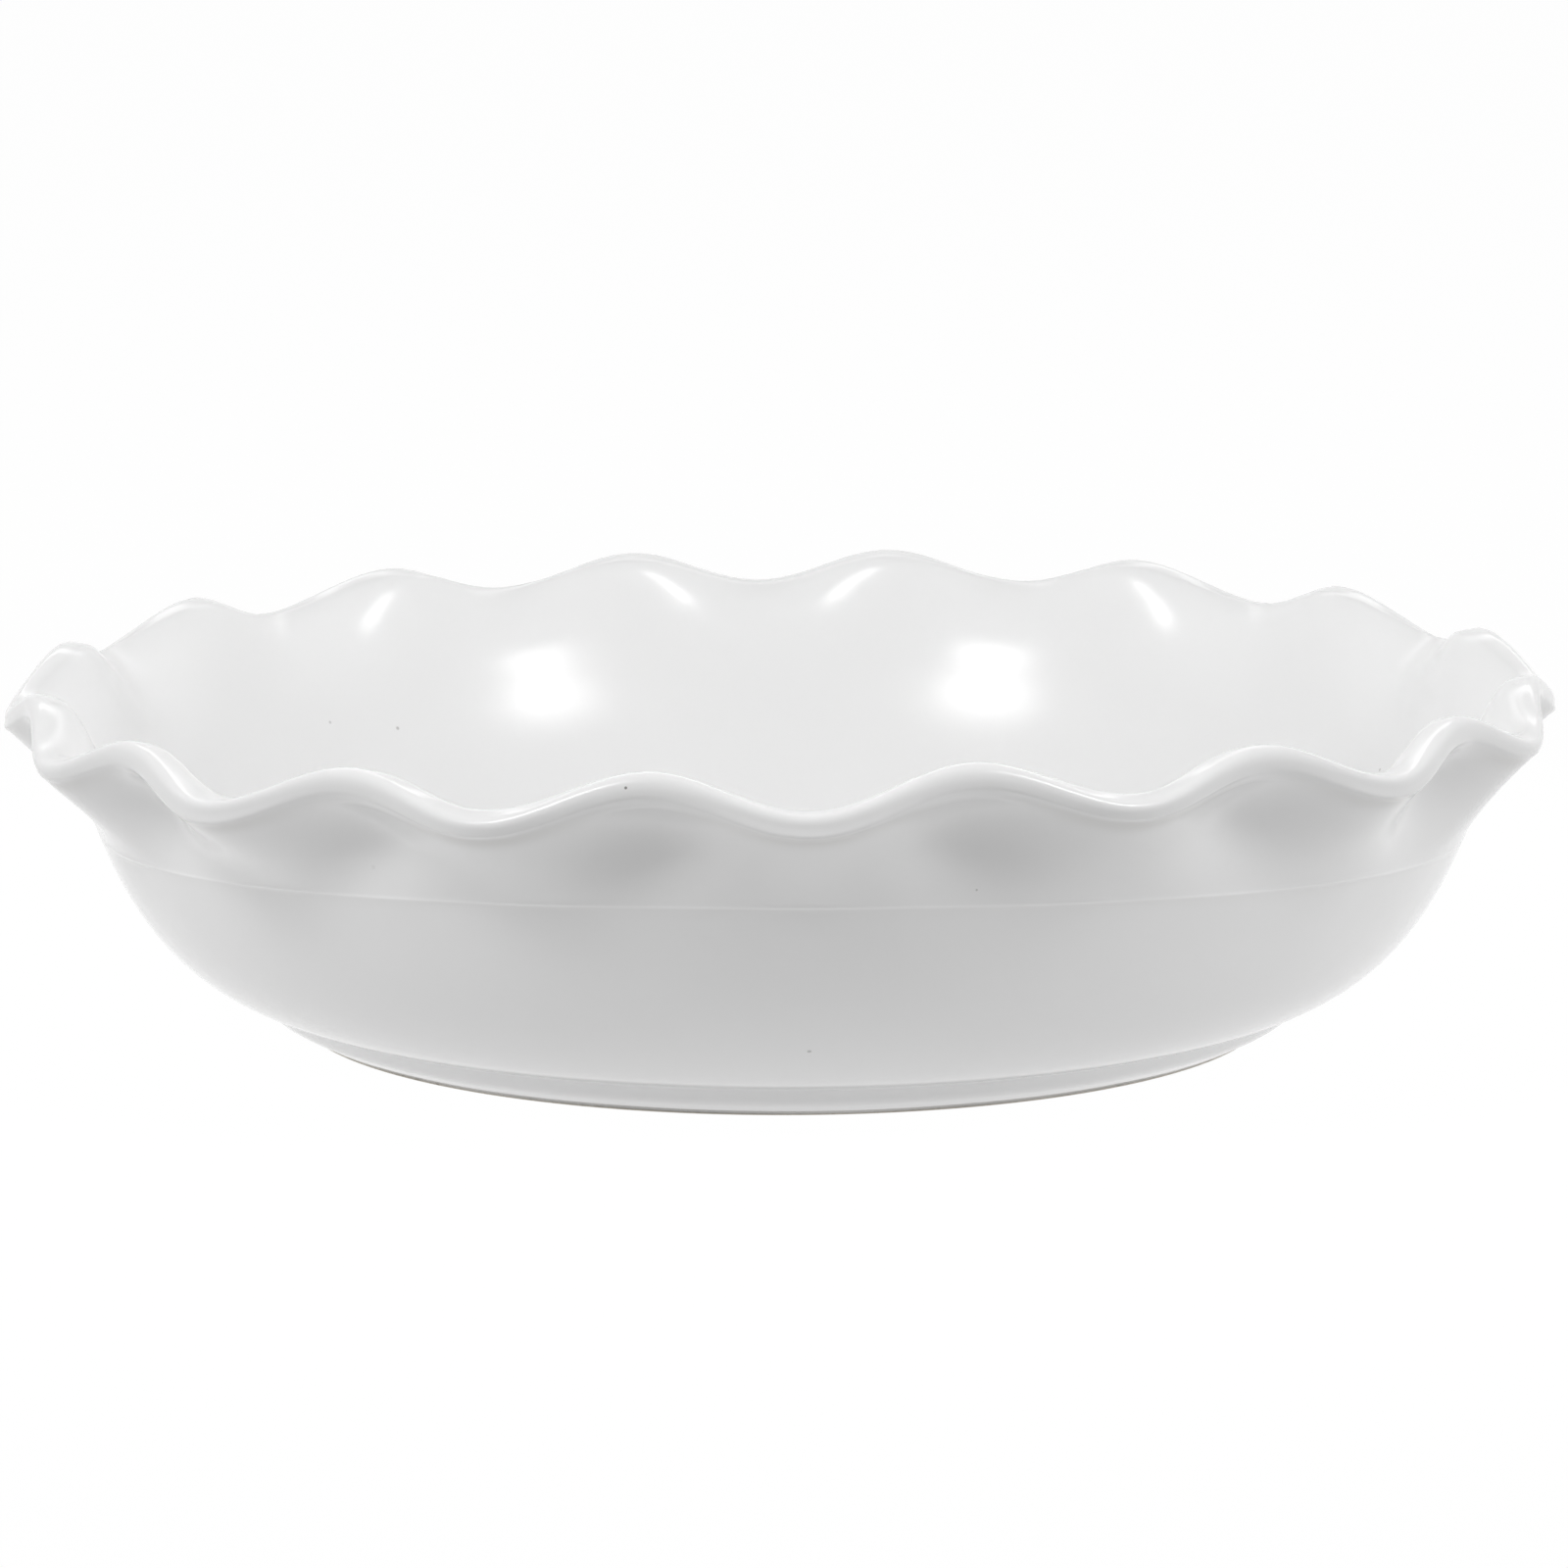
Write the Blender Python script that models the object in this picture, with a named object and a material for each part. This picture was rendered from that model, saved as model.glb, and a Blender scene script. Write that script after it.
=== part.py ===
"""Ruffled ceramic pie dish: a fired clay body, the glaze over it and the glaze under its base.

Metres, +Z up. The origin is on the table, under the middle of the dish. The dish stands on
its bare foot ring, and its front is -Y. Every shape is a section turned around the middle:
a line in the plane of reach (x) and height (y), walked with the clay on its left.
"""

import bpy
import bmesh
from math import cos, sin, pi, radians
from mathutils import Vector
from mathutils.geometry import interpolate_bezier

# Rim: the lip's top edge swings in and up at each fold, out and down at each lobe
RIM_RADIUS = 0.1329
RIM_HEIGHT = 0.0598
LOBES = 16
LOBE_TURN = radians(-9.3)
WAVE_REACH = 0.0022
WAVE_LIFT = 0.0037

# Kiln warp: the rim tilts, sags to an oval and twists to three highs. Each has its turn, the
# angle round the dish at which it is highest
RIM_TILT = 0.0012
RIM_TILT_TURN = radians(114)
RIM_SAG = 0.0014
RIM_SAG_TURN = radians(12)
RIM_TWIST = 0.0009
RIM_TWIST_TURN = radians(9)

# Lip: the thick edge of the flange. A swing is what a fold has more than the middle value,
# and a lobe less
LIP_THICKNESS = 0.0048
LIP_THICKNESS_SWING = 0.0011
LIP_SETBACK = 0.0013
LIP_SETBACK_SWING = -0.0003
LIP_LEAN = radians(0.5)
LIP_LEAN_SWING = radians(14.5)
LIP_FACE_LEAN = radians(-5)
LIP_FACE_SWING = radians(6)
LIP_TUCK = radians(46)
LIP_TUCK_SWING = radians(6)
LIP_TOP_ROUND = 0.0019
LIP_TOP_ROUND_SWING = 0.0005
LIP_TOP_WIDTH = 0.0022
LIP_ROLL = 0.4

# Droop: every second lobe hangs lower, with a flatter, thinner lip
DROOP_LEAN = radians(9)
DROOP_FACE_LEAN = radians(8)
DROOP_DROP = 0.0003
DROOP_THINNING = 0.0003
DROOP_SETBACK = 0.0006
DROOP_TUCK = radians(-10)

# Collar: the fluted band between the lip and the shoulder line, pinched in under each fold
COLLAR_ANGLE = radians(58)
COLLAR_PINCH_ANGLE = radians(20)
COLLAR_REACH = 0.0060
COLLAR_PINCH_REACH = 0.0040
COLLAR_FLARE = radians(44)
COLLAR_PINCH_FLARE = radians(-14)
COLLAR_FLARE_REACH = 0.0060
COLLAR_PINCH_FLARE_REACH = 0.0040

# Flange: the collar's inner side, which turns up to the lip
FLANGE_TURN = 0.0024
FLANGE_TURN_SWING = 0.0015
FLANGE_FALL = 0.0160

# Shoulder: the faint line round the wall, which drifts up at front and back
SHOULDER_RADIUS = 0.1202
SHOULDER_HEIGHT = 0.0375
SHOULDER_DRIFT = 0.0038

# Bowl: a round wall over a flat floor
WALL_THICKNESS = 0.0055
WALL_TOP_ANGLE = radians(66)
WALL_TOP_REACH = 0.0040
WALL_HEEL_ANGLE = radians(11.8)
WALL_HEEL_REACH = 0.0188
FLOOR_THICKNESS = 0.0060
FLOOR_RADIUS = 0.0770
COVE_TOP_REACH = 0.0120
COVE_REACH = 0.0200

# Foot: a low ring round a recess, bare where it stands
FOOT_RADIUS = 0.0849
FOOT_WIDTH = 0.0050
FOOT_LINE_RADIUS = 0.0914
FOOT_LINE_HEIGHT = 0.0058
FOOT_SIDE_ANGLE = radians(38)
RECESS_DEPTH = 0.0030
RECESS_ROUND = 0.0014

# Glaze: a thin coat of glass, wiped off the foot ring before the firing
GLAZE_THICKNESS = 0.0005
GLAZE_EDGE_HEIGHT = 0.0003
GLAZE_GAP = 0.0003

# Facets: segments round the dish, steps along each stretch of the section, and the angle
# from which an edge is drawn sharp
SEGMENTS = LOBES * 8
FOOT_STEPS = 2
WALL_STEPS = 5
COLLAR_STEPS = 4
ROLL_STEPS = 2
ROUND_STEPS = 2
FLANGE_STEPS = 4
COVE_STEPS = 4
SHARP_ANGLE = radians(40)

GLAZE_WHITE = (0.86, 0.86, 0.86)
CLAY_WHITE = (0.78, 0.75, 0.70)


def clear_scene():
    for obj in list(bpy.data.objects):
        bpy.data.objects.remove(obj, do_unlink=True)


def material(name, colour, roughness, coat):
    mat = bpy.data.materials.new(name)
    mat.use_nodes = True
    shader = mat.node_tree.nodes["Principled BSDF"]
    shader.inputs["Base Color"].default_value = (*colour, 1.0)
    shader.inputs["Roughness"].default_value = roughness
    shader.inputs["Metallic"].default_value = 0.0
    shader.inputs["Coat Weight"].default_value = coat
    return mat


def heading(angle, reach=1.0):
    """A step in the section plane, at an angle above level."""
    return Vector((cos(angle), sin(angle))) * reach


def curve(start, leave, arrive, end, steps):
    """A smooth line that leaves start by one step and arrives at end by another."""
    return interpolate_bezier(start, start + leave, end - arrive, end, steps + 1)


def arc(centre, radius, first, last, steps):
    return [centre + heading(first + (last - first) * i / steps, radius) for i in range(steps + 1)]


def fold_at(angle):
    """1 at a fold, -1 at a lobe."""
    return cos(LOBES * (angle - LOBE_TURN))


def droop_at(angle):
    """-1 at each lobe that droops, 1 at the lobes between them, 0 at the folds."""
    return sin(LOBES / 2 * (angle - LOBE_TURN))


def rim_warp(angle):
    """How far the fired rim has risen or sunk at an angle round the dish."""
    tilt = RIM_TILT * cos(angle - RIM_TILT_TURN)
    sag = RIM_SAG * cos(2 * (angle - RIM_SAG_TURN))
    twist = RIM_TWIST * cos(3 * (angle - RIM_TWIST_TURN))
    return tilt + sag + twist


def lip_line(angle):
    """Round the lip, from the crease under it up its face and over to the flange's top."""
    fold = fold_at(angle)
    droop = droop_at(angle)
    reach = RIM_RADIUS - WAVE_REACH * fold
    height = RIM_HEIGHT + WAVE_LIFT * fold + DROOP_DROP * droop + rim_warp(angle)
    edge = Vector((reach, height))

    lean = LIP_LEAN + LIP_LEAN_SWING * fold + DROOP_LEAN * droop
    face_lean = LIP_FACE_LEAN + LIP_FACE_SWING * fold + DROOP_FACE_LEAN * droop
    tuck = LIP_TUCK + LIP_TUCK_SWING * fold + DROOP_TUCK * droop
    thickness = LIP_THICKNESS + LIP_THICKNESS_SWING * fold + DROOP_THINNING * droop
    setback = LIP_SETBACK + LIP_SETBACK_SWING * fold - DROOP_SETBACK * droop
    crease = edge - Vector((setback, thickness))

    top_round = LIP_TOP_ROUND + LIP_TOP_ROUND_SWING * fold
    out = heading(lean)
    up = heading(lean + pi / 2)
    over = edge - up * top_round - out * top_round
    roll_reach = LIP_THICKNESS * LIP_ROLL
    roll = curve(crease, heading(tuck, roll_reach), heading(face_lean + pi / 2, roll_reach),
                 over + heading(face_lean, top_round), ROLL_STEPS)
    rounded = arc(over, top_round, face_lean, lean + pi / 2, ROUND_STEPS)
    top_end = rounded[-1] - out * LIP_TOP_WIDTH
    return roll[:-1] + rounded + [top_end], out


def collar_line(angle, shoulder, crease):
    """The fluted band, which a fold pinches in for less than half of its width."""
    pinch = ((fold_at(angle) + 1) / 2) ** 2
    leave = heading(COLLAR_ANGLE + COLLAR_PINCH_ANGLE * pinch,
                    COLLAR_REACH + COLLAR_PINCH_REACH * pinch)
    arrive = heading(COLLAR_FLARE + COLLAR_PINCH_FLARE * pinch,
                     COLLAR_FLARE_REACH + COLLAR_PINCH_FLARE_REACH * pinch)
    return curve(shoulder, leave, arrive, crease, COLLAR_STEPS)


def outer_line(angle):
    """The glazed surface, from the foot up the outside, over the lip and down to the floor."""
    foot = Vector((FOOT_RADIUS, GLAZE_EDGE_HEIGHT))
    foot_line = Vector((FOOT_LINE_RADIUS, FOOT_LINE_HEIGHT))
    foot_side = curve(foot, heading(FOOT_SIDE_ANGLE, FOOT_LINE_HEIGHT / 2),
                      heading(pi / 2, FOOT_LINE_HEIGHT / 2), foot_line, FOOT_STEPS)

    middle = Vector((SHOULDER_RADIUS, SHOULDER_HEIGHT))
    shoulder = middle + heading(WALL_TOP_ANGLE, SHOULDER_DRIFT * cos(2 * angle))
    wall = curve(foot_line, heading(WALL_HEEL_ANGLE, WALL_HEEL_REACH),
                 heading(WALL_TOP_ANGLE, WALL_TOP_REACH), shoulder, WALL_STEPS)
    lip, out = lip_line(angle)
    collar = collar_line(angle, shoulder, lip[0])

    inner_shoulder = shoulder + heading(WALL_TOP_ANGLE + pi / 2, WALL_THICKNESS)
    turn = FLANGE_TURN + FLANGE_TURN_SWING * fold_at(angle)
    flange = curve(lip[-1], -out * turn, -heading(WALL_TOP_ANGLE, FLANGE_FALL),
                   inner_shoulder, FLANGE_STEPS)

    floor_height = RECESS_DEPTH + FLOOR_THICKNESS
    floor_edge = Vector((FLOOR_RADIUS, floor_height))
    cove = curve(inner_shoulder, -heading(WALL_TOP_ANGLE, COVE_TOP_REACH),
                 Vector((-COVE_REACH, 0)), floor_edge, COVE_STEPS)
    floor_middle = Vector((0, floor_height))
    return (foot_side[:-1] + wall[:-1] + collar[:-1] + lip + flange[1:-1] + cove
            + [floor_middle])


def recess_line(angle):
    """The glazed surface under the dish, from its middle out and down the foot ring's inside.

    It is the same at every angle round the dish.
    """
    reach = FOOT_RADIUS - FOOT_WIDTH
    round_centre = Vector((reach - RECESS_ROUND, RECESS_DEPTH - RECESS_ROUND))
    corner = arc(round_centre, RECESS_ROUND, pi / 2, 0, ROUND_STEPS)
    return [Vector((0, RECESS_DEPTH))] + corner + [Vector((reach, GLAZE_EDGE_HEIGHT))]


def loft(mesh, near, far):
    """The band of triangles between two rings, facing out when near lies before far."""
    for i in range(SEGMENTS):
        j = (i + 1) % SEGMENTS
        mesh.faces.new((near[i], near[j], far[j]))
        mesh.faces.new((near[i], far[j], far[i]))


def turned_skin(mesh, line):
    """The surface that a line sweeps round the dish. An end on the axis is closed by a disc.

    Returns the first and the last ring of the line's points.
    """
    angles = [LOBE_TURN + 2 * pi * step / SEGMENTS for step in range(SEGMENTS)]
    sections = [line(angle) for angle in angles]
    starts_on_axis = sections[0][0].x == 0
    ends_on_axis = sections[0][-1].x == 0
    first = 1 if starts_on_axis else 0
    last = len(sections[0]) - (1 if ends_on_axis else 0)
    rings = []
    for i in range(first, last):
        rings.append([mesh.verts.new((s[i].x * sin(angle), -s[i].x * cos(angle), s[i].y))
                      for s, angle in zip(sections, angles)])
    for near, far in zip(rings, rings[1:]):
        loft(mesh, near, far)
    if starts_on_axis:
        mesh.faces.new(rings[0][::-1])
    if ends_on_axis:
        mesh.faces.new(rings[-1])
    return rings[0], rings[-1]


def sink(mesh, depth):
    """Move every face in by the same depth, along its points' normals."""
    mesh.normal_update()
    steps = [(v, v.normal * depth * v.calc_shell_factor()) for v in mesh.verts]
    for vert, step in steps:
        vert.co -= step


def piece(name, mesh, mat):
    mesh.normal_update()
    data = bpy.data.meshes.new(name)
    mesh.to_mesh(data)
    mesh.free()
    data.shade_smooth()
    data.set_sharp_from_angle(angle=SHARP_ANGLE)
    data.materials.append(mat)
    obj = bpy.data.objects.new(name, data)
    bpy.context.collection.objects.link(obj)
    return obj


def make_clay_body(mat):
    """The clay lies under both glazes and alone reaches the table, on a flat bearing face."""
    mesh = bmesh.new()
    under_edge = turned_skin(mesh, recess_line)[1]
    over_edge = turned_skin(mesh, outer_line)[0]
    sink(mesh, GLAZE_THICKNESS + GLAZE_GAP)
    inner_bearing = [mesh.verts.new((v.co.x, v.co.y, 0)) for v in under_edge]
    outer_bearing = [mesh.verts.new((v.co.x, v.co.y, 0)) for v in over_edge]
    loft(mesh, under_edge, inner_bearing)
    loft(mesh, inner_bearing, outer_bearing)
    loft(mesh, outer_bearing, over_edge)
    return piece("clay_body", mesh, mat)


def make_glaze(name, line, mat):
    """A skin on the dish's own surface, thickened into the dish and closed along its edge."""
    mesh = bmesh.new()
    turned_skin(mesh, line)
    glaze = piece(name, mesh, mat)
    coat = glaze.modifiers.new("coat", "SOLIDIFY")
    coat.thickness = GLAZE_THICKNESS
    coat.offset = -1
    coat.use_even_offset = True
    return glaze


clear_scene()
white_glaze = material("white_glaze", GLAZE_WHITE, 0.08, 1.0)
bare_clay = material("bare_clay", CLAY_WHITE, 0.75, 0.0)
make_clay_body(bare_clay)
make_glaze("glaze_coat", outer_line, white_glaze)
make_glaze("underside_glaze", recess_line, white_glaze)
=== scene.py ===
"""A white ruffled pie dish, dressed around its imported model.

Metres, +Z up. The front of the dish is -Y. An angle round the dish starts at the front and
grows towards +X.
"""

from math import cos, pi, radians, sin

import bmesh
import bpy
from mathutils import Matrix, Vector


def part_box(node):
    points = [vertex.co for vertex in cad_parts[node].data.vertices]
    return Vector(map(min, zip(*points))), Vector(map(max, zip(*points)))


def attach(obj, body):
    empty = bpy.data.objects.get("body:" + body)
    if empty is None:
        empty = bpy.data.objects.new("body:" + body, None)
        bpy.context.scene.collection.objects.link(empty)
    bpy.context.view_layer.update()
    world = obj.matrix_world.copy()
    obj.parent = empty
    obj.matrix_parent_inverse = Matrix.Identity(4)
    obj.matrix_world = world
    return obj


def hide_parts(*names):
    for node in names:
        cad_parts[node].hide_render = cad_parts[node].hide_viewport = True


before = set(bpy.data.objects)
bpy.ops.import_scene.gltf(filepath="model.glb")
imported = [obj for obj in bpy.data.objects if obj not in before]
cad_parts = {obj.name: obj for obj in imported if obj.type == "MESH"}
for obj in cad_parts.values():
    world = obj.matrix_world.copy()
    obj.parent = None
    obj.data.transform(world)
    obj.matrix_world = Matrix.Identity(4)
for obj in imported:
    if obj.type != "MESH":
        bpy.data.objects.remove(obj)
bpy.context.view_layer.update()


# Glaze coat
# The white glass that was melted on after the dish was dipped: one unbroken coat from the foot
# ring's outside up the wall, over the ruffled lip and down to the floor. It was wiped off at the
# foot. Its colour has painted highlights on the foot line, the shoulder's bead and the lip's
# crest, is painted lighter inside the bowl, and has painted shade just under the shoulder line
# and in the creases under the lobes.

edge_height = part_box("glaze_coat")[0].z
glaze_thickness = 0.0005

# A swing acts one way at a fold of the ruffle and the other way at a lobe. A droop acts one way
# at every other lobe and the other way at the lobes between them. A pinch acts at the folds
# and fades out towards the lobes.
dish_sizes = {
    # The ruffle's wave, and the kiln's warp: a tilt, a sag and a three-sided twist.
    "Lobes": 16,
    "Lobe Turn": radians(-9.3),
    "Wave Reach": 0.0022,
    "Wave Lift": 0.0037,
    "Rim Radius": 0.1328,
    "Rim Height": 0.0597,
    "Rim Tilt": 0.0012,
    "Rim Tilt Turn": radians(114),
    "Rim Sag": 0.0014,
    "Rim Sag Turn": radians(12),
    "Rim Twist": 0.0009,
    "Rim Twist Turn": radians(9),
    # The lip's section.
    "Lip Thickness": 0.0048,
    "Lip Thickness Swing": 0.0011,
    "Lip Setback": 0.0013,
    "Lip Setback Swing": -0.0003,
    "Lip Lean": radians(0.5),
    "Lip Swing": radians(14.5),
    "Lip Top Round": 0.0019,
    "Lip Top Round Swing": 0.0005,
    "Lip Top Width": 0.0022,
    "Lip Tuck": radians(46),
    "Lip Tuck Swing": radians(6),
    "Lip Lead": radians(-5),
    "Lip Lead Swing": radians(6),
    # How one lobe differs from the next.
    "Droop": radians(9),
    "Droop Lead": radians(8),
    "Droop Drop": 0.0003,
    "Droop Thinning": 0.0003,
    "Droop Setback": 0.0006,
    "Droop Tuck": radians(-10),
    # The flange inside the lip, and the collar outside it down to the shoulder.
    "Flange Turn": 0.0024,
    "Flange Turn Swing": 0.0015,
    "Flange Fall": 0.0160,
    "Collar Angle": radians(58),
    "Collar Pinch Angle": radians(20),
    "Collar Reach": 0.0060,
    "Collar Pinch Reach": 0.0040,
    "Collar Flare": radians(44),
    "Collar Pinch Flare": radians(-14),
    "Collar Flare Reach": 0.0060,
    "Collar Pinch Flare Reach": 0.0040,
    # The shoulder line and the wall under it.
    "Shoulder Radius": 0.1202,
    "Shoulder Height": 0.0375,
    "Shoulder Drift": 0.0038,
    "Wall Thickness": 0.0055,
    "Wall Top Angle": radians(66),
    "Wall Top Reach": 0.0040,
    "Wall Heel Angle": radians(11.8),
    "Wall Heel Reach": 0.0188,
    # The floor and the cove that rises from it.
    "Floor Height": 0.0090,
    "Floor Radius": 0.0770,
    "Cove Top Reach": 0.0120,
    "Cove Reach": 0.0200,
    # The foot, and the height at which the glaze ends.
    "Foot Radius": 0.0849,
    "Foot Line Radius": 0.0914,
    "Foot Line Height": 0.0058,
    "Foot Side Angle": radians(38),
    "Foot Edge Round": 0.0003,
    "Edge Height": edge_height,
    # The low bead along the shoulder line.
    "Shoulder Bead": 0.0009,
    "Shoulder Bead Rise": radians(12),
}


class Field:
    """A number or a point that a node tree works out, so that formulas read as formulas."""

    def __init__(self, tree, socket):
        self.tree = tree
        self.socket = socket

    @property
    def is_point(self):
        return self.socket.type == "VECTOR"

    def work_out(self, operation, *others):
        points = self.is_point or any(isinstance(o, Field) and o.is_point for o in others)
        kind = "ShaderNodeVectorMath" if points else "ShaderNodeMath"
        node = self.tree.nodes.new(kind)
        node.operation = operation
        for i, value in enumerate((self,) + others):
            feed(value, node.inputs["Scale"] if operation == "SCALE" and i == 1 else node.inputs[i])
        gives_number = operation == "LENGTH" or not points
        return Field(self.tree, node.outputs["Value" if gives_number else "Vector"])

    def __add__(self, other):
        return self.work_out("ADD", other)

    def __sub__(self, other):
        return self.work_out("SUBTRACT", other)

    def __mul__(self, other):
        return self.work_out("SCALE" if self.is_point else "MULTIPLY", other)

    def cos(self):
        return self.work_out("COSINE")

    def sin(self):
        return self.work_out("SINE")


def feed(value, socket):
    """Puts what a field works out, or a plain value, into a node's socket."""
    if isinstance(value, Field):
        value.tree.links.new(value.socket, socket)
    else:
        socket.default_value = value


def carried(tree, name):
    """A number that each point of a band carries."""
    node = tree.nodes.new("GeometryNodeInputNamedAttribute")
    node.data_type = "FLOAT"
    node.inputs["Name"].default_value = name
    return Field(tree, node.outputs["Attribute"])


def point(reach, height):
    """A point of the section, at a reach from the axis and a height above the table."""
    tree = reach.tree if isinstance(reach, Field) else height.tree
    node = tree.nodes.new("ShaderNodeCombineXYZ")
    feed(reach, node.inputs["X"])
    feed(height, node.inputs["Z"])
    return Field(tree, node.outputs["Vector"])


def heading(angle):
    """A step of length 1 in the section, at an angle up from straight outwards."""
    return point(angle.cos(), angle.sin())


def bezier(start, leave, arrive, end, t):
    """The smooth line that leaves start by one step and arrives at end by another."""
    u = t * -1 + 1
    first = start + leave
    second = end - arrive
    return (start * (u * u * u) + first * (u * u * t * 3) + second * (u * t * t * 3)
            + end * (t * t * t))


def straight(start, end, t):
    return start + (end - start) * t


def corner_arc(centre, radius, first_angle, last_angle, t):
    return centre + heading(first_angle + (last_angle - first_angle) * t) * radius


def bump(t, place, width):
    """A soft ridge of height 1 across the place where t takes the given value."""
    step = (t - place) * (1 / width)
    return (step * step * -1).work_out("EXPONENT")


def ease(t, low, high):
    """A soft rise from 0 to 1 while t goes from low to high."""
    share = ((t - low) * (1 / (high - low))).work_out("MAXIMUM", 0.0).work_out("MINIMUM", 1.0)
    return share * share * (share * -2 + 3)


def lay_stretch(tree, around, steps, angle, line, marks):
    """One band of the skin: a grid whose long side goes round the dish and whose short side
    follows a line of the section. Its marks say where the glaze's colour is painted lighter, above
    0, as painted highlights and lit places, or darker, below 0, as painted shade (the painted-light
    mark), and how far use has dulled it (wear)."""
    grid = tree.nodes.new("GeometryNodeMeshGrid")
    grid.inputs["Vertices X"].default_value = around + 1
    grid.inputs["Vertices Y"].default_value = steps + 1
    split = tree.nodes.new("ShaderNodeSeparateXYZ")
    tree.links.new(grid.outputs["UV Map"], split.inputs["Vector"])
    geometry = grid.outputs["Mesh"]
    numbers = {
        "around": Field(tree, split.outputs["X"]),
        "along": Field(tree, split.outputs["Y"]),
        "painted_light": marks.get("painted_light", 0.0),
        "wear": marks.get("wear", 0.0),
    }
    for name, value in numbers.items():
        store = tree.nodes.new("GeometryNodeStoreNamedAttribute")
        store.inputs["Name"].default_value = name
        tree.links.new(geometry, store.inputs["Geometry"])
        feed(value, store.inputs["Value"])
        geometry = store.outputs["Geometry"]
    spun = tree.nodes.new("ShaderNodeVectorRotate")
    spun.rotation_type = "Z_AXIS"
    feed(line, spun.inputs["Vector"])
    feed(angle - pi / 2, spun.inputs["Angle"])
    place = tree.nodes.new("GeometryNodeSetPosition")
    tree.links.new(geometry, place.inputs["Geometry"])
    tree.links.new(spun.outputs["Vector"], place.inputs["Position"])
    return place.outputs["Geometry"]


def skin_tree(name, sizes, around, stretches):
    """A node tree that lays the stretches of a section round the dish and welds them. The skin
    then sinks by one amount and wavers in and out by another, as a hand-dipped coat does."""
    weld_distance = 0.00001
    tree = bpy.data.node_groups.new(name, "GeometryNodeTree")
    for size, value in sizes.items():
        kind = "NodeSocketInt" if isinstance(value, int) else "NodeSocketFloat"
        tree.interface.new_socket(size, in_out="INPUT", socket_type=kind)
    for extra in ("Sink", "Waver", "Waver Scale"):
        tree.interface.new_socket(extra, in_out="INPUT", socket_type="NodeSocketFloat")
    tree.interface.new_socket("Material", in_out="INPUT", socket_type="NodeSocketMaterial")
    tree.interface.new_socket("Skin", in_out="OUTPUT", socket_type="NodeSocketGeometry")
    inputs = tree.nodes.new("NodeGroupInput")
    size = {s: Field(tree, inputs.outputs[s]) for s in sizes}
    angle = carried(tree, "around") * (2 * pi) + size["Lobe Turn"]
    along = carried(tree, "along")

    join = tree.nodes.new("GeometryNodeJoinGeometry")
    for steps, line, marks in stretches(size, angle, along):
        band = lay_stretch(tree, around, steps, angle, line, marks)
        tree.links.new(band, join.inputs["Geometry"])
    weld = tree.nodes.new("GeometryNodeMergeByDistance")
    weld.inputs["Distance"].default_value = weld_distance
    tree.links.new(join.outputs["Geometry"], weld.inputs["Geometry"])

    noise = tree.nodes.new("ShaderNodeTexNoise")
    noise.inputs["Detail"].default_value = 1.0
    tree.links.new(inputs.outputs["Waver Scale"], noise.inputs["Scale"])
    waver = (Field(tree, noise.outputs["Fac"]) - 0.5) * Field(tree, inputs.outputs["Waver"])
    swell = waver - Field(tree, inputs.outputs["Sink"])
    normal = Field(tree, tree.nodes.new("GeometryNodeInputNormal").outputs["Normal"])
    shift = tree.nodes.new("GeometryNodeSetPosition")
    tree.links.new(weld.outputs["Geometry"], shift.inputs["Geometry"])
    feed(normal * swell, shift.inputs["Offset"])

    smooth = tree.nodes.new("GeometryNodeSetShadeSmooth")
    tree.links.new(shift.outputs["Geometry"], smooth.inputs["Geometry"])
    real = tree.nodes.new("GeometryNodeRealizeInstances")
    tree.links.new(smooth.outputs["Geometry"], real.inputs["Geometry"])
    finish = tree.nodes.new("GeometryNodeSetMaterial")
    tree.links.new(real.outputs["Geometry"], finish.inputs["Geometry"])
    tree.links.new(inputs.outputs["Material"], finish.inputs["Material"])
    outputs = tree.nodes.new("NodeGroupOutput")
    tree.links.new(finish.outputs["Geometry"], outputs.inputs["Skin"])
    return tree


def lip_frame(size, angle):
    """The lip at an angle round the dish: its crest, how much of a fold it is (1) or of a lobe
    (-1), its lean, the lean of its face, the angle of the tuck under it, and the step from its
    foot up to its crest."""
    fold = ((angle - size["Lobe Turn"]) * size["Lobes"]).cos()
    warp = (size["Rim Tilt"] * (angle - size["Rim Tilt Turn"]).cos()
            + size["Rim Sag"] * ((angle - size["Rim Sag Turn"]) * 2).cos()
            + size["Rim Twist"] * ((angle - size["Rim Twist Turn"]) * 3).cos())
    every_other = ((angle - size["Lobe Turn"]) * (size["Lobes"] * 0.5)).sin()
    crest_reach = size["Rim Radius"] - size["Wave Reach"] * fold
    crest_height = (size["Rim Height"] + size["Wave Lift"] * fold + warp
                    + size["Droop Drop"] * every_other)
    lean = size["Lip Lean"] + size["Lip Swing"] * fold + size["Droop"] * every_other
    lead = size["Lip Lead"] + size["Lip Lead Swing"] * fold + size["Droop Lead"] * every_other
    thickness = (size["Lip Thickness"] + size["Lip Thickness Swing"] * fold
                 + size["Droop Thinning"] * every_other)
    setback = (size["Lip Setback"] + size["Lip Setback Swing"] * fold
               - size["Droop Setback"] * every_other)
    tuck = size["Lip Tuck"] + size["Lip Tuck Swing"] * fold + size["Droop Tuck"] * every_other
    return point(crest_reach, crest_height), fold, lean, lead, tuck, point(setback, thickness)


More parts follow.
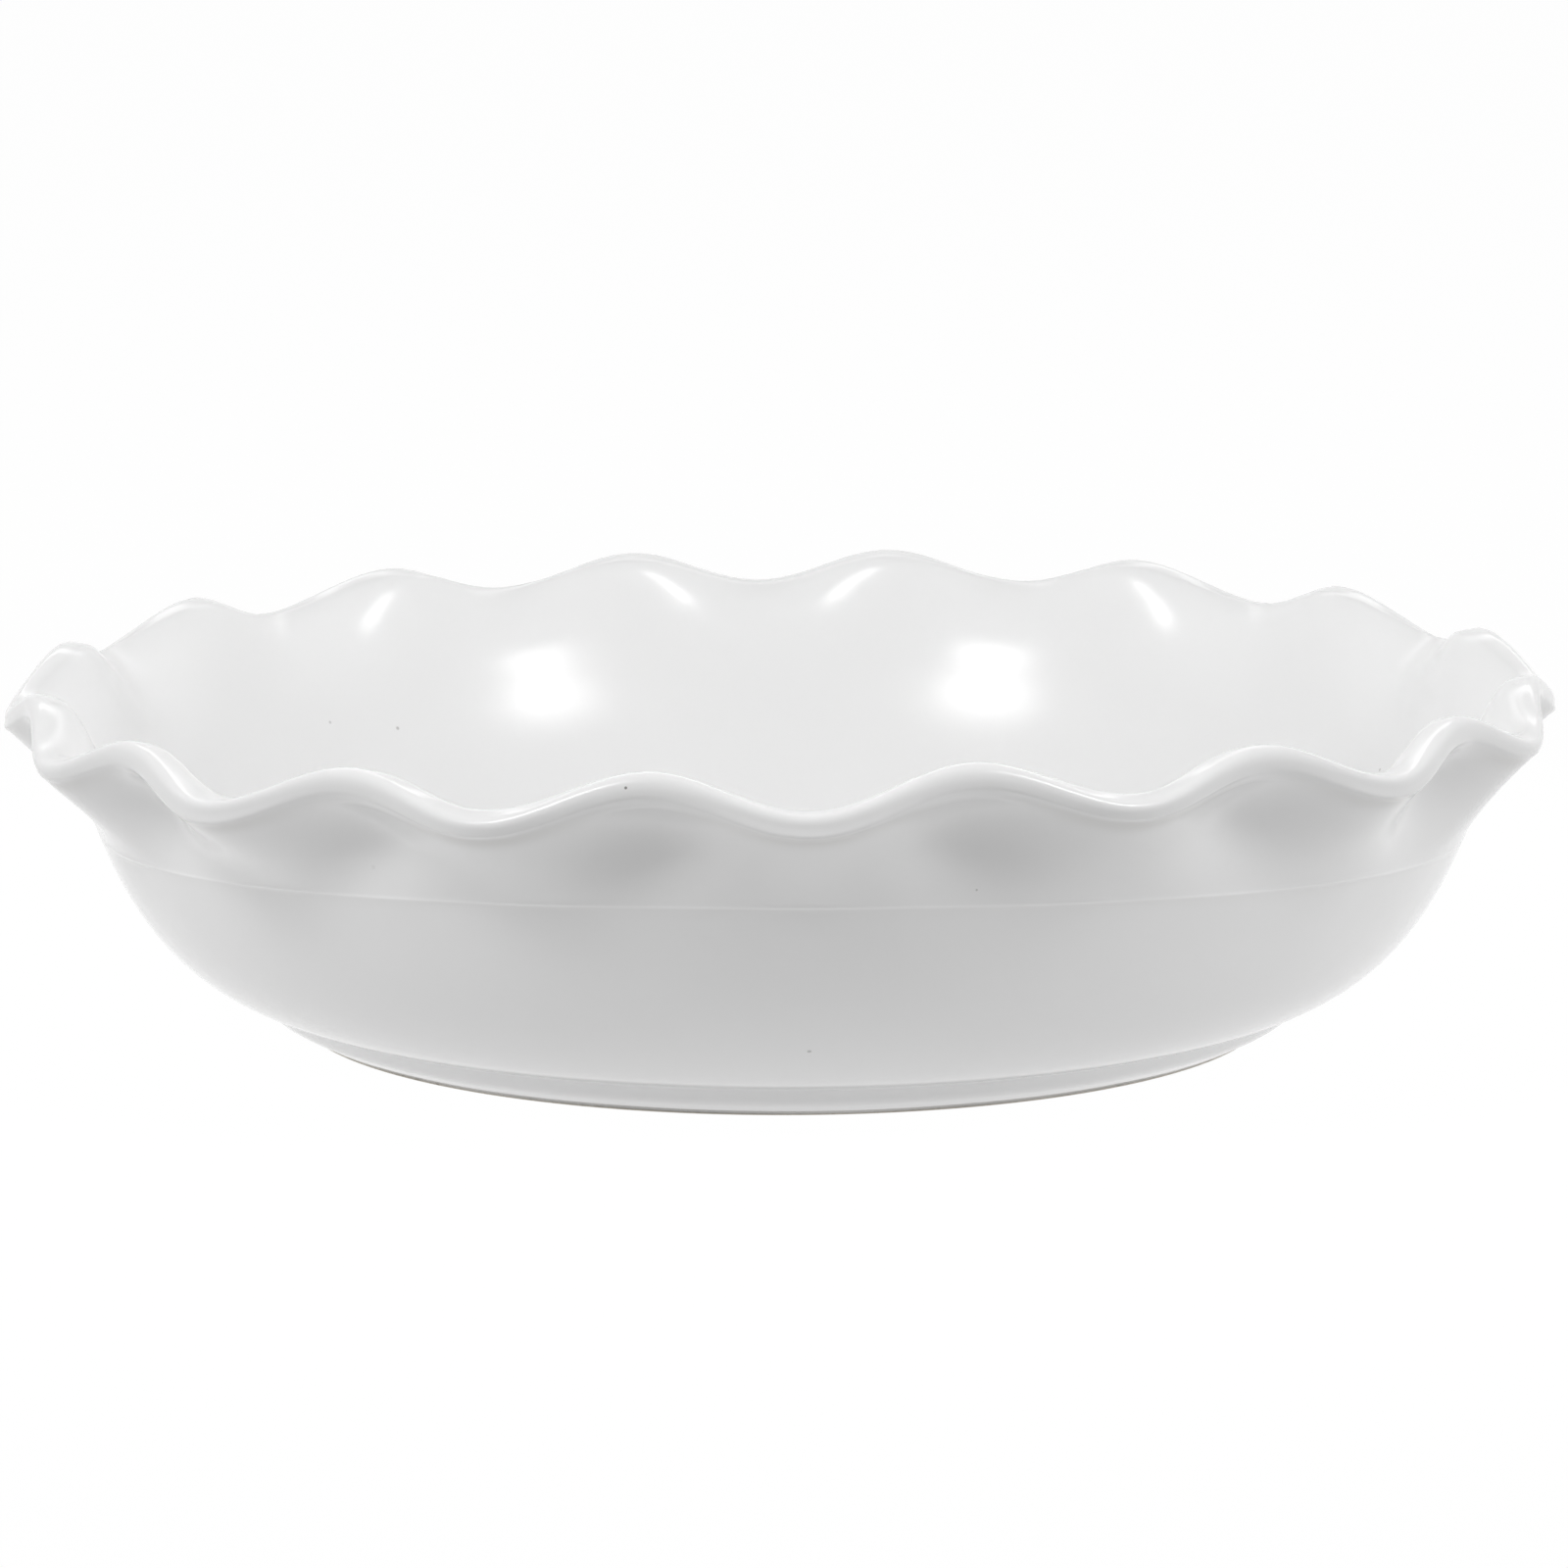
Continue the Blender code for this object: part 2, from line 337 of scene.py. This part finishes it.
def outer_stretches(size, angle, along):
    """The coat's section, walked from the foot up the outside, over the lip to the floor."""
    foot = point(size["Foot Radius"], size["Edge Height"])
    foot_line = point(size["Foot Line Radius"], size["Foot Line Height"])
    fillet = size["Foot Edge Round"]
    side_reach = size["Foot Line Height"] * 0.5
    side_top = foot_line - point(0.0, fillet)
    heel_way = heading(size["Wall Heel Angle"])
    heel = foot_line + heel_way * fillet
    foot_side = bezier(foot, heading(size["Foot Side Angle"]) * side_reach,
                       point(0.0, side_reach), side_top, along)
    turn_reach = fillet * 0.6
    heel_turn = bezier(side_top, point(0.0, turn_reach), heel_way * turn_reach, heel, along)

    wall_way = heading(size["Wall Top Angle"])
    shoulder_middle = point(size["Shoulder Radius"], size["Shoulder Height"])
    shoulder = shoulder_middle + wall_way * (size["Shoulder Drift"] * (angle * 2).cos())
    wall = bezier(heel, heel_way * size["Wall Heel Reach"],
                  wall_way * size["Wall Top Reach"], shoulder, along)

    crest, fold, lean, lead, tuck, lip_step = lip_frame(size, angle)
    lip_foot = crest - lip_step
    half = fold * 0.5 + 0.5
    pinch = half * half
    collar_way = heading(size["Collar Angle"] + size["Collar Pinch Angle"] * pinch)
    collar_reach = size["Collar Reach"] + size["Collar Pinch Reach"] * pinch
    flare_way = heading(size["Collar Flare"] + size["Collar Pinch Flare"] * pinch)
    flare_reach = size["Collar Flare Reach"] + size["Collar Pinch Flare Reach"] * pinch
    bead_top = shoulder + collar_way * size["Shoulder Bead"]
    bead_leave = heading(size["Wall Top Angle"] - size["Shoulder Bead Rise"])
    bead_arrive = heading(size["Wall Top Angle"] + size["Shoulder Bead Rise"])
    bead_reach = size["Shoulder Bead"] * 0.5
    bead = bezier(shoulder, bead_leave * bead_reach, bead_arrive * bead_reach, bead_top, along)
    collar = bezier(bead_top, collar_way * collar_reach, flare_way * flare_reach, lip_foot, along)

    out = heading(lean)
    up = heading(lean + pi / 2)
    top_round = size["Lip Top Round"] + size["Lip Top Round Swing"] * fold
    round_centre = crest - up * top_round - out * top_round
    roll_reach = size["Lip Thickness"] * 0.4
    roll = bezier(lip_foot, heading(tuck) * roll_reach, heading(lead + pi / 2) * roll_reach,
                  round_centre + heading(lead) * top_round, along)
    over_arc = corner_arc(round_centre, top_round, lead, lean + pi / 2, along)
    top_end = round_centre + up * top_round - out * size["Lip Top Width"]
    lip_top = straight(round_centre + up * top_round, top_end, along)

    wall_in = heading(size["Wall Top Angle"] + pi / 2)
    inner_shoulder = shoulder + wall_in * size["Wall Thickness"]
    flange_turn = size["Flange Turn"] + size["Flange Turn Swing"] * fold
    flange = bezier(top_end, out * (flange_turn * -1),
                    wall_way * (size["Flange Fall"] * -1), inner_shoulder, along)
    floor_edge = point(size["Floor Radius"], size["Floor Height"])
    cove = bezier(inner_shoulder, wall_way * (size["Cove Top Reach"] * -1),
                  point(size["Cove Reach"] * -1, 0.0), floor_edge, along)
    floor = straight(floor_edge, point(0.0, size["Floor Height"]), along)

    # Each band has its steps along the section, its line and its marks. The painted-light marks give
    # a painted highlight on the foot line, the shoulder's bead and the lip's crest, paint the inside
    # of the bowl lighter, and give painted shade just under the shoulder line and in the crease
    # between the collar and the roll. The crease's painted shade fades out towards the folds, and the
    # bead's painted highlight towards the back of the dish.
    crease_shade = fold * 0.4 - 0.4
    front_share = (angle - size["Lobe Turn"]).cos() * 0.5 + 0.5
    return (
        (6, foot_side, {}),
        (3, heel_turn, {"painted_light": bump(along, 0.5, 0.4)}),
        (18, wall, {"painted_light": bump(along, 1.0, 0.05) * -0.25}),
        (5, bead, {"painted_light": bump(along, 0.5, 0.3) * front_share}),
        (24, collar, {"painted_light": crease_shade * bump(along, 1.0, 0.10)}),
        (12, roll, {"painted_light": crease_shade * bump(along, 0.0, 0.22)}),
        (5, over_arc, {"painted_light": ease(along, 0.0, 0.8)}),
        (3, lip_top, {"painted_light": along * -1 + 1, "wear": along * 1.17}),
        (16, flange, {"painted_light": ease(along, 0.05, 0.5) * 0.5,
                      "wear": bump(along, 0.25, 0.3) * 0.35 + 1}),
        (10, cove, {"painted_light": 0.5, "wear": 1.0}),
        (3, floor, {"painted_light": 0.5, "wear": 1.0}),
    )


def grow_skin(name, tree, values, material):
    """The tree's result as a plain mesh on a new object at the origin."""
    piece = bpy.data.objects.new(name, bpy.data.meshes.new(name))
    bpy.context.collection.objects.link(piece)
    grower = piece.modifiers.new("skin", "NODES")
    grower.node_group = tree
    sockets = {s.name: s.identifier for s in tree.interface.items_tree if s.in_out == "INPUT"}
    for size, value in values.items():
        grower[sockets[size]] = value
    grower[sockets["Material"]] = material
    grown = bpy.data.meshes.new_from_object(
        piece.evaluated_get(bpy.context.evaluated_depsgraph_get()))
    piece.modifiers.remove(grower)
    piece.data = grown
    return piece


def thicken(skin, thickness):
    """Makes a coat of a skin, with its thickness inwards."""
    coat = skin.modifiers.new("coat", "SOLIDIFY")
    coat.thickness = thickness
    coat.offset = -1
    coat.use_even_offset = True


def place_on_piece(tree):
    """The point of the piece that is being shaded, in metres."""
    return Field(tree, tree.nodes.new("ShaderNodeTexCoord").outputs["Object"])


def mark_on_piece(tree, name):
    """What the bands' marks say at the point that is being shaded."""
    node = tree.nodes.new("ShaderNodeAttribute")
    node.attribute_name = name
    return Field(tree, node.outputs["Fac"])


def cloud(tree, place, size, detail):
    """Soft random patches of about the given size in metres, from -0.5 to 0.5."""
    noise = tree.nodes.new("ShaderNodeTexNoise")
    noise.inputs["Scale"].default_value = 1 / size
    noise.inputs["Detail"].default_value = detail
    feed(place, noise.inputs["Vector"])
    return Field(tree, noise.outputs["Fac"]) - 0.5


def blend_tone(tree, share, plain, other):
    """A colour that goes from plain to other as the share goes from 0 to 1."""
    mix = tree.nodes.new("ShaderNodeMix")
    mix.data_type = "RGBA"
    feed(share, mix.inputs["Factor"])
    for tone, socket in ((plain, mix.inputs["A"]), (other, mix.inputs["B"])):
        feed(tone if isinstance(tone, Field) else tone + (1,), socket)
    return Field(tree, mix.outputs["Result"])


def raise_surface(tree, height, distance):
    """The normals of a surface whose height varies by the given distance in metres."""
    relief = tree.nodes.new("ShaderNodeBump")
    relief.inputs["Distance"].default_value = distance
    feed(height, relief.inputs["Height"])
    return Field(tree, relief.outputs["Normal"])


def ramp(tree, value, low, high, low_result, high_result):
    """A soft change from one result to another while the value goes from low to high."""
    node = tree.nodes.new("ShaderNodeMapRange")
    node.interpolation_type = "SMOOTHSTEP"
    feed(value, node.inputs["Value"])
    for name, number in (("From Min", low), ("From Max", high),
                         ("To Min", low_result), ("To Max", high_result)):
        node.inputs[name].default_value = number
    return Field(tree, node.outputs["Result"])


def kiln_spots():
    """What both the glaze and the bare clay show: scattered specks where a grain of iron or a
    bubble came through in the firing. A speck shows where the surface cuts through its grain."""
    edge_hardness = 3.0
    group = bpy.data.node_groups.new("kiln_spots", "ShaderNodeTree")
    group.interface.new_socket("Grain Spacing", in_out="INPUT", socket_type="NodeSocketFloat")
    group.interface.new_socket("Grain Radius", in_out="INPUT", socket_type="NodeSocketFloat")
    group.interface.new_socket("Spots", in_out="OUTPUT", socket_type="NodeSocketFloat")
    inputs = group.nodes.new("NodeGroupInput")
    spacing = Field(group, inputs.outputs["Grain Spacing"])
    radius = Field(group, inputs.outputs["Grain Radius"])
    cells = group.nodes.new("ShaderNodeTexVoronoi")
    feed(place_on_piece(group), cells.inputs["Vector"])
    feed(spacing.work_out("POWER", -1.0), cells.inputs["Scale"])
    from_grain = Field(group, cells.outputs["Distance"]) * spacing
    depth = (from_grain.work_out("DIVIDE", radius) * -1 + 1).work_out("MAXIMUM", 0.0)
    spots = (depth * edge_hardness).work_out("MINIMUM", 1.0)
    feed(spots, group.nodes.new("NodeGroupOutput").inputs["Spots"])
    return group


spots_group = kiln_spots()


def scatter_spots(tree, spacing, radius):
    """The kiln's specks in a material, from 0 to 1."""
    node = tree.nodes.new("ShaderNodeGroup")
    node.node_tree = spots_group
    node.inputs["Grain Spacing"].default_value = spacing
    node.inputs["Grain Radius"].default_value = radius
    return Field(tree, node.outputs["Spots"])


glaze_tone = (0.88, 0.88, 0.88)
# The next tone is the painted highlights' and the lit inside's, and the one after it is the painted
# shade's; the random drift moves the glaze towards them too.
drift_and_painted_light_tone = (0.95, 0.95, 0.95)
drift_and_painted_shade_tone = (0.75, 0.745, 0.735)
spot_tone = (0.16, 0.15, 0.14)
drift_size = 0.045
drift_share = 0.3
speck_spacing = 0.020
speck_radius = 0.00022
speck_darkness = 0.6
fresh_roughness = 0.11
wear_roughness = 0.09
pit_roughness = 0.4
gloss_patch_size = 0.018
gloss_patch_swing = 0.05
ripple_size = 0.014
peel_size = 0.0011
peel_share = 0.03
glaze_relief = 0.00006

# Each pinhole has its angle round the dish in degrees, its reach from the axis, its height and
# its radius in millimetres, and its darkness.
pinholes = (
    (-132.3, 114.4, 38.2, 0.40, 0.35),
    (-140.0, 113.0, 35.5, 0.45, 0.45),
    (-10.5, 131.2, 61.5, 0.30, 0.85),
    (2.3, 106.9, 15.4, 0.45, 0.38),
    (108.2, 113.6, 36.2, 0.40, 0.50),
    (14.3, 122.2, 43.6, 0.25, 0.35),
    (-31.9, 121.9, 44.4, 0.45, 0.08),
)

glaze = bpy.data.materials.new("white_glaze")
glaze.use_nodes = True
glaze_tree = glaze.node_tree
glaze_shader = glaze_tree.nodes["Principled BSDF"]
glaze_place = place_on_piece(glaze_tree)

pits = scatter_spots(glaze_tree, speck_spacing, speck_radius) * speck_darkness
for turn, reach, height, radius, darkness in pinholes:
    hole = Vector((reach * sin(radians(turn)), -reach * cos(radians(turn)), height)) / 1000
    from_hole = (glaze_place - hole).work_out("LENGTH")
    pit = ramp(glaze_tree, from_hole, radius / 2000, radius / 1000, darkness, 0.0)
    pits = pits.work_out("MAXIMUM", pit)

# The bands' marks are painted light: painted highlights on the foot line, the shoulder's bead and the
# lip's crest, the inside of the bowl painted lighter, and painted shade under the shoulder line and in
# the creases under the lobes. Random patches of drift add to them, lighter or darker.
drift = cloud(glaze_tree, glaze_place, drift_size, 2.0)
drift_and_painted_light = mark_on_piece(glaze_tree, "painted_light") + drift * drift_share
lighter_drift_and_painted_light = drift_and_painted_light.work_out("MAXIMUM", 0.0)
darker_drift_and_painted_shade = (drift_and_painted_light * -1).work_out("MAXIMUM", 0.0)
glaze_colour = blend_tone(glaze_tree, lighter_drift_and_painted_light, glaze_tone, drift_and_painted_light_tone)
glaze_colour = blend_tone(glaze_tree, darker_drift_and_painted_shade, glaze_colour, drift_and_painted_shade_tone)
glaze_colour = blend_tone(glaze_tree, pits, glaze_colour, spot_tone)
feed(glaze_colour, glaze_shader.inputs["Base Color"])

gloss_patches = cloud(glaze_tree, glaze_place, gloss_patch_size, 2.0) * gloss_patch_swing
worn = mark_on_piece(glaze_tree, "wear") * wear_roughness
feed(gloss_patches + fresh_roughness + worn + pits * pit_roughness, glaze_shader.inputs["Roughness"])

ripples = cloud(glaze_tree, glaze_place, ripple_size, 1.0)
peel = cloud(glaze_tree, glaze_place, peel_size, 1.0) * peel_share
feed(raise_surface(glaze_tree, ripples + peel - pits, glaze_relief), glaze_shader.inputs["Normal"])

coat_steps_around = 448
coat_tree = skin_tree("glaze_coat_skin", dish_sizes, coat_steps_around, outer_stretches)
coat_values = dish_sizes | {"Sink": 0.0, "Waver": 0.0002, "Waver Scale": 25.0}
glaze_coat = grow_skin("glaze_coat_piece", coat_tree, coat_values, glaze)
thicken(glaze_coat, glaze_thickness)
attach(glaze_coat, "root")
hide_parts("glaze_coat")


# Underside glaze
# The same glass on the recessed underside, inside the foot ring. It is a patch of its own,
# because the foot ring's bearing face was wiped bare so that the dish doesn't fuse to the kiln.

recess_sizes = {
    "Lobe Turn": dish_sizes["Lobe Turn"],
    "Recess Radius": 0.0799,
    "Recess Depth": 0.0030,
    "Recess Round": 0.0014,
    "Edge Height": edge_height,
}
recess_steps_around = 256


def recess_stretches(size, angle, along):
    """The recess's section, walked from the middle out and down the foot ring's inside."""
    depth, radius, corner = size["Recess Depth"], size["Recess Radius"], size["Recess Round"]
    roof_end = point(radius - corner, depth)
    side_top = point(radius, depth - corner)
    turn_reach = corner * 0.55
    roof = straight(point(0.0, depth), roof_end, along)
    turn = bezier(roof_end, point(turn_reach, 0.0), point(0.0, turn_reach * -1), side_top, along)
    side = straight(side_top, point(radius, size["Edge Height"]), along)
    return ((12, roof, {}), (6, turn, {}), (4, side, {}))


recess_tree = skin_tree("underside_glaze_skin", recess_sizes, recess_steps_around,
                        recess_stretches)
recess_values = recess_sizes | {"Sink": 0.0, "Waver": 0.0001, "Waver Scale": 25.0}
underside_glaze = grow_skin("underside_glaze_piece", recess_tree, recess_values, glaze)
thicken(underside_glaze, glaze_thickness)
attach(underside_glaze, "root")
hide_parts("underside_glaze")


# Clay body
# The fired clay under both glazes, pressed in one piece. Only the flat face that the foot ring
# stands on was left bare.

clay_tone = (0.72, 0.68, 0.61)
clay_patch_tone = (0.66, 0.61, 0.53)
grog_tone = (0.55, 0.50, 0.43)
fleck_tone = (0.34, 0.28, 0.22)
clay_roughness = 0.85
clay_patch_size = 0.02
grog_spacing = 0.0016
grog_radius = 0.0005
grog_darkness = 0.35
grog_depth = 0.6
fleck_spacing = 0.006
fleck_radius = 0.0007
fleck_darkness = 0.7
grain_size = 0.0004
clay_relief = 0.00012

clay = bpy.data.materials.new("bare_clay")
clay.use_nodes = True
clay_tree = clay.node_tree
clay_shader = clay_tree.nodes["Principled BSDF"]
clay_shader.inputs["Roughness"].default_value = clay_roughness
clay_place = place_on_piece(clay_tree)
grog = scatter_spots(clay_tree, grog_spacing, grog_radius)
flecks = scatter_spots(clay_tree, fleck_spacing, fleck_radius)
clay_patches = cloud(clay_tree, clay_place, clay_patch_size, 3.0) + 0.5
clay_colour = blend_tone(clay_tree, clay_patches, clay_tone, clay_patch_tone)
clay_colour = blend_tone(clay_tree, grog * grog_darkness, clay_colour, grog_tone)
clay_colour = blend_tone(clay_tree, flecks * fleck_darkness, clay_colour, fleck_tone)
feed(clay_colour, clay_shader.inputs["Base Color"])
clay_grain = cloud(clay_tree, clay_place, grain_size, 3.0) - grog * grog_depth
feed(raise_surface(clay_tree, clay_grain, clay_relief), clay_shader.inputs["Normal"])

clay_depth = 0.0008
ledge_gap = 0.00005
clay_ledge = edge_height - ledge_gap
clay_ledge_width = 0.0007
bare_chamfer = 0.0002
under_glaze = {"Sink": clay_depth, "Waver": 0.0}
clay_skin = skin_tree("clay_body_skin", dish_sizes, recess_steps_around, outer_stretches)
clay_body = grow_skin("clay_body_piece", clay_skin, coat_values | under_glaze, clay)
clay_roof = grow_skin("clay_roof", recess_tree, recess_values | under_glaze, clay)

# The clay comes down inside the two glazes, steps out under their edges and is chamfered to
# the bearing face. Both its skins have the same steps round, so that the face joins them.
body = bmesh.new()
body.from_mesh(clay_body.data)
body.from_mesh(clay_roof.data)
ring_middle = (dish_sizes["Foot Radius"] + recess_sizes["Recess Radius"]) / 2
rims = [e for e in body.edges if e.is_boundary]
for ledge, height in ((0.0, clay_ledge), (clay_ledge_width, clay_ledge),
                      (clay_ledge_width - bare_chamfer, 0.0)):
    grown = bmesh.ops.extrude_edge_only(body, edges=rims)["geom"]
    rims = [e for e in grown if isinstance(e, bmesh.types.BMEdge)]
    for vert in (v for v in grown if isinstance(v, bmesh.types.BMVert)):
        flat = Vector((vert.co.x, vert.co.y, 0))
        if flat.length > ring_middle:
            radius = dish_sizes["Foot Radius"] - (clay_depth - ledge)
        else:
            radius = recess_sizes["Recess Radius"] + (clay_depth - ledge)
        vert.co = flat.normalized() * radius + Vector((0, 0, height))
bmesh.ops.bridge_loops(body, edges=rims)
bmesh.ops.recalc_face_normals(body, faces=body.faces)
body.to_mesh(clay_body.data)
body.free()
bpy.data.objects.remove(clay_roof)
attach(clay_body, "root")
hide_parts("clay_body")


# Floor and backdrop
# A white table that runs on into a white studio. The camera and the glaze's reflections see it
# as plain white, with the dish's own faint shadow kept on the table.

table_reach = 6.0
table_white = 0.95
table_bounce = 0.30
table_glow = 0.985
lit_radius = 0.20
lit_fade = 0.36
lit_strength = 0.42
table_roughness = 0.9

corners = [(x * table_reach, y * table_reach, 0) for x, y in ((-1, -1), (1, -1), (1, 1), (-1, 1))]
table_mesh = bpy.data.meshes.new("table")
table_mesh.from_pydata(corners, [], [(0, 1, 2, 3)])
table = bpy.data.objects.new("table", table_mesh)
bpy.context.collection.objects.link(table)


def seen_directly(tree):
    """1 for what the camera, a reflection or a see-through part shows, 0 for scattered light."""
    path = tree.nodes.new("ShaderNodeLightPath")
    seen = Field(tree, path.outputs["Is Camera Ray"])
    for ray in ("Is Glossy Ray", "Is Transmission Ray"):
        seen = seen.work_out("MAXIMUM", Field(tree, path.outputs[ray]))
    return seen


table_finish = bpy.data.materials.new("table_white")
table_finish.use_nodes = True
table_tree = table_finish.node_tree
table_shader = table_tree.nodes["Principled BSDF"]
table_shader.inputs["Roughness"].default_value = table_roughness
table_shader.inputs["Specular IOR Level"].default_value = 0.0
table_shader.inputs["Emission Color"].default_value = (1, 1, 1, 1)
table_tone = blend_tone(table_tree, seen_directly(table_tree), (table_bounce,) * 3, (table_white,) * 3)
feed(table_tone, table_shader.inputs["Base Color"])
# Painted glow: near the dish the table itself glows, fading out between 0.2 and 0.36 m from the
# middle, and lights the dish from below.
from_middle = place_on_piece(table_tree).work_out("LENGTH")
table_lit = ramp(table_tree, from_middle, lit_radius, lit_fade, lit_strength, 0.0)
feed(table_lit, table_shader.inputs["Emission Strength"])
plain_white = table_tree.nodes.new("ShaderNodeEmission")
table_mix = table_tree.nodes.new("ShaderNodeMixShader")
feed(seen_directly(table_tree) * table_glow, table_mix.inputs["Fac"])
table_tree.links.new(table_shader.outputs["BSDF"], table_mix.inputs[1])
table_tree.links.new(plain_white.outputs["Emission"], table_mix.inputs[2])
table_output = table_tree.nodes["Material Output"]
table_tree.links.new(table_mix.outputs["Shader"], table_output.inputs["Surface"])
table_mesh.materials.append(table_finish)

# The studio's walls light the dish from its sides, its back and, least, its front. Each comes
# in softly as the direction turns towards it, and all of them fade out upwards.
side_light = 2.6
back_light = 1.1
front_light = 0.60
wall_fade = (0.2, 0.5)
side_turn = (0.64, 0.95)
end_turn = (0.0, 0.6)
world = bpy.data.worlds.new("studio")
world.use_nodes = True
world_tree = world.node_tree
backdrop = world_tree.nodes["Background"]
backdrop.inputs["Color"].default_value = (1, 1, 1, 1)
split = world_tree.nodes.new("ShaderNodeSeparateXYZ")
sky = world_tree.nodes.new("ShaderNodeTexCoord")
world_tree.links.new(sky.outputs["Generated"], split.inputs["Vector"])
across, back, up = (Field(world_tree, split.outputs[axis]) for axis in "XYZ")
walls = ramp(world_tree, up, *wall_fade, 1.0, 0.0)
sides = ramp(world_tree, across * across, *side_turn, 0.0, side_light)
behind = ramp(world_tree, back, *end_turn, 0.0, back_light)
before = ramp(world_tree, back * -1, *end_turn, 0.0, front_light)
scattered = walls * sides.work_out("MAXIMUM", behind + before)
seen = seen_directly(world_tree)
feed(scattered * (seen * -1 + 1) + seen, backdrop.inputs["Strength"])
bpy.context.scene.world = world
bpy.context.scene.view_settings.view_transform = "Standard"


# Lights
# Two softboxes with dim halos stand in front of the dish to its left and right, and each shows
# as one bright patch inside the bowl. Fill lamps behind them and a large lamp above light the
# dish without being mirrored in it. A strip stands behind the dish and is mirrored in the lip.

softbox_size = (0.25, 0.22)
softbox_brightness = 6.0
softbox_distance = 1.25
halo_size = (0.44, 0.40)
halo_brightness = 1.3
halo_distance = 1.30
fill_size = (0.36, 0.36)
fill_brightness = 7.6
fill_distance = 1.35
overhead_size = (1.2, 0.8)
overhead_brightness = 1.20
overhead_way = (0.0, 0.05, 1.0)
overhead_distance = 1.4
strip_size = (1.3, 0.20)
strip_brightness = 1.8
strip_way = (0.0, 0.75, 0.66)
strip_distance = 1.5
front_lamps = (
    ("right", (0.565, -0.400, 0.730), 1.0),
    ("left", (-0.495, -0.450, 0.745), 1.2),
)


def hang_lamp(name, shape, size, brightness, way, distance):
    """A lamp of even brightness that hangs at a distance and faces the dish."""
    light = bpy.data.lights.new(name, "AREA")
    light.shape = shape
    light.size, light.size_y = size
    light.energy = brightness * pi * size[0] * size[1]
    lamp = bpy.data.objects.new(name, light)
    lamp.location = Vector(way).normalized() * distance
    lamp.rotation_euler = Vector(way).to_track_quat("Z", "Y").to_euler()
    bpy.context.collection.objects.link(lamp)
    return lamp


for side, way, share in front_lamps:
    hang_lamp("softbox_" + side, "ELLIPSE", softbox_size, softbox_brightness * share,
              way, softbox_distance)
    hang_lamp("halo_" + side, "ELLIPSE", halo_size, halo_brightness * share, way, halo_distance)
    fill = hang_lamp("fill_" + side, "ELLIPSE", fill_size, fill_brightness * share,
                     way, fill_distance)
    fill.visible_glossy = False
overhead = hang_lamp("softbox_above", "RECTANGLE", overhead_size, overhead_brightness,
                     overhead_way, overhead_distance)
overhead.visible_glossy = False
hang_lamp("strip_behind", "RECTANGLE", strip_size, strip_brightness, strip_way, strip_distance)


# Camera
# It stands about a metre from the middle of the dish and looks down on it by ten degrees,
# which matches the outline in the photograph.

camera_place = (0, -1.0373, 0.2193)
look_down = 9.818

camera_data = bpy.data.cameras.new("camera")
camera_data.lens = 138.4
camera_data.sensor_width = 36
camera_data.shift_x = 0.0012
camera = bpy.data.objects.new("camera", camera_data)
camera.location = camera_place
camera.rotation_euler = (radians(90 - look_down), 0, 0)
bpy.context.collection.objects.link(camera)
bpy.context.scene.camera = camera
